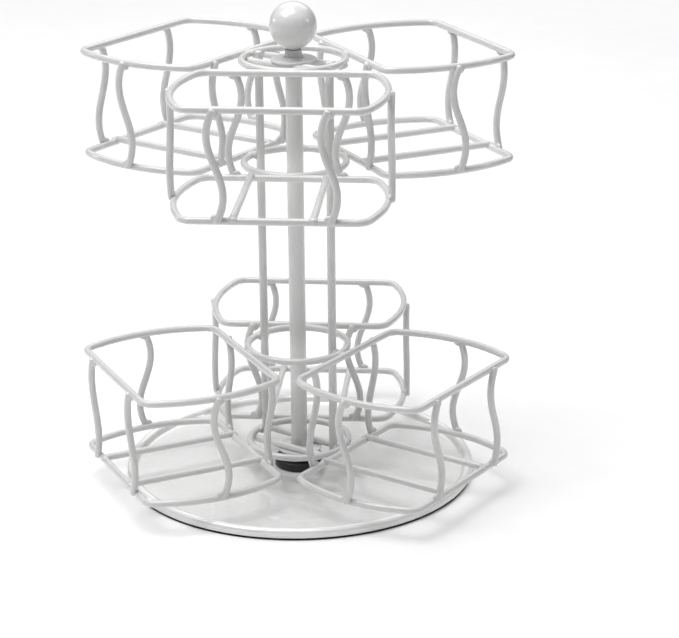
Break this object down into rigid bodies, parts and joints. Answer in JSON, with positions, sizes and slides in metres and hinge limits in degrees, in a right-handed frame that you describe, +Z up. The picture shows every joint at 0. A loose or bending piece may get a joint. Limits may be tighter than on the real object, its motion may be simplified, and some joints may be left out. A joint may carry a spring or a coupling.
{
  "type": "rotating display rack",
  "caption": "Countertop wire carousel: two tiers of open baskets turn on a centre post that stands on a round dished base and ends in a ball.",
  "frame": {"origin": "centre of the base's underside, on the axis of the post", "axes": "+Z up along the post, -Y towards the front, through the middle of the upper front basket, +X to the right"},
  "size_m": [0.2562, 0.2448, 0.292],
  "materials": {
    "wire_coat": "gloss white powder coat over welded steel wire",
    "post_coat": "gloss white powder coat on a round steel post",
    "plate_coat": "smooth high-gloss white powder coat",
    "ball_coat": "gloss white",
    "gasket_rubber": "matte black",
    "bush_plastic": "satin black",
    "screw_steel": "zinc plated"
  },
  "bodies": {
    "stand": {"base_plate": "plate_coat", "base_gasket": "gasket_rubber", "base_screw": "screw_steel", "bearing_bush": "bush_plastic", "centre_post": "post_coat", "ball_finial": "ball_coat"},
    "carousel": {"front_rod": "wire_coat", "lower_hub_ring": "wire_coat", "lower_left_floor": "wire_coat", "lower_left_inner_rib_left": "wire_coat", "lower_left_inner_rib_right": "wire_coat", "lower_left_left_side_rib": "wire_coat", "lower_left_outer_rib_left": "wire_coat", "lower_left_outer_rib_right": "wire_coat", "lower_left_right_side_rib": "wire_coat", "lower_left_rim_loop": "wire_coat", "lower_rear_floor": "wire_coat", "lower_rear_inner_rib_left": "wire_coat", "lower_rear_inner_rib_right": "wire_coat", "lower_rear_left_side_rib": "wire_coat", "lower_rear_outer_rib_left": "wire_coat", "lower_rear_outer_rib_right": "wire_coat", "lower_rear_right_side_rib": "wire_coat", "lower_rear_rim_loop": "wire_coat", "lower_right_floor": "wire_coat", "lower_right_inner_rib_left": "wire_coat", "lower_right_inner_rib_right": "wire_coat", "lower_right_left_side_rib": "wire_coat", "lower_right_outer_rib_left": "wire_coat", "lower_right_outer_rib_right": "wire_coat", "lower_right_right_side_rib": "wire_coat", "lower_right_rim_loop": "wire_coat", "lower_rim_ring": "wire_coat", "rear_rod": "wire_coat", "upper_floor_ring": "wire_coat", "upper_front_floor": "wire_coat", "upper_front_inner_rib_left": "wire_coat", "upper_front_inner_rib_right": "wire_coat", "upper_front_left_side_rib": "wire_coat", "upper_front_outer_rib_left": "wire_coat", "upper_front_outer_rib_right": "wire_coat", "upper_front_right_side_rib": "wire_coat", "upper_front_rim_loop": "wire_coat", "upper_hub_ring": "wire_coat", "upper_left_floor": "wire_coat", "upper_left_inner_rib_left": "wire_coat", "upper_left_inner_rib_right": "wire_coat", "upper_left_left_side_rib": "wire_coat", "upper_left_outer_rib_left": "wire_coat", "upper_left_outer_rib_right": "wire_coat", "upper_left_right_side_rib": "wire_coat", "upper_left_rim_loop": "wire_coat", "upper_right_floor": "wire_coat", "upper_right_inner_rib_left": "wire_coat", "upper_right_inner_rib_right": "wire_coat", "upper_right_left_side_rib": "wire_coat", "upper_right_outer_rib_left": "wire_coat", "upper_right_outer_rib_right": "wire_coat", "upper_right_right_side_rib": "wire_coat", "upper_right_rim_loop": "wire_coat"}
  },
  "joints": [
    {"name": "carousel_spin", "type": "hinge", "parent": "stand", "child": "carousel", "pos_m": [0, 0, 0.0132], "axis": [0, 0, 1], "continuous": true}
  ]
}
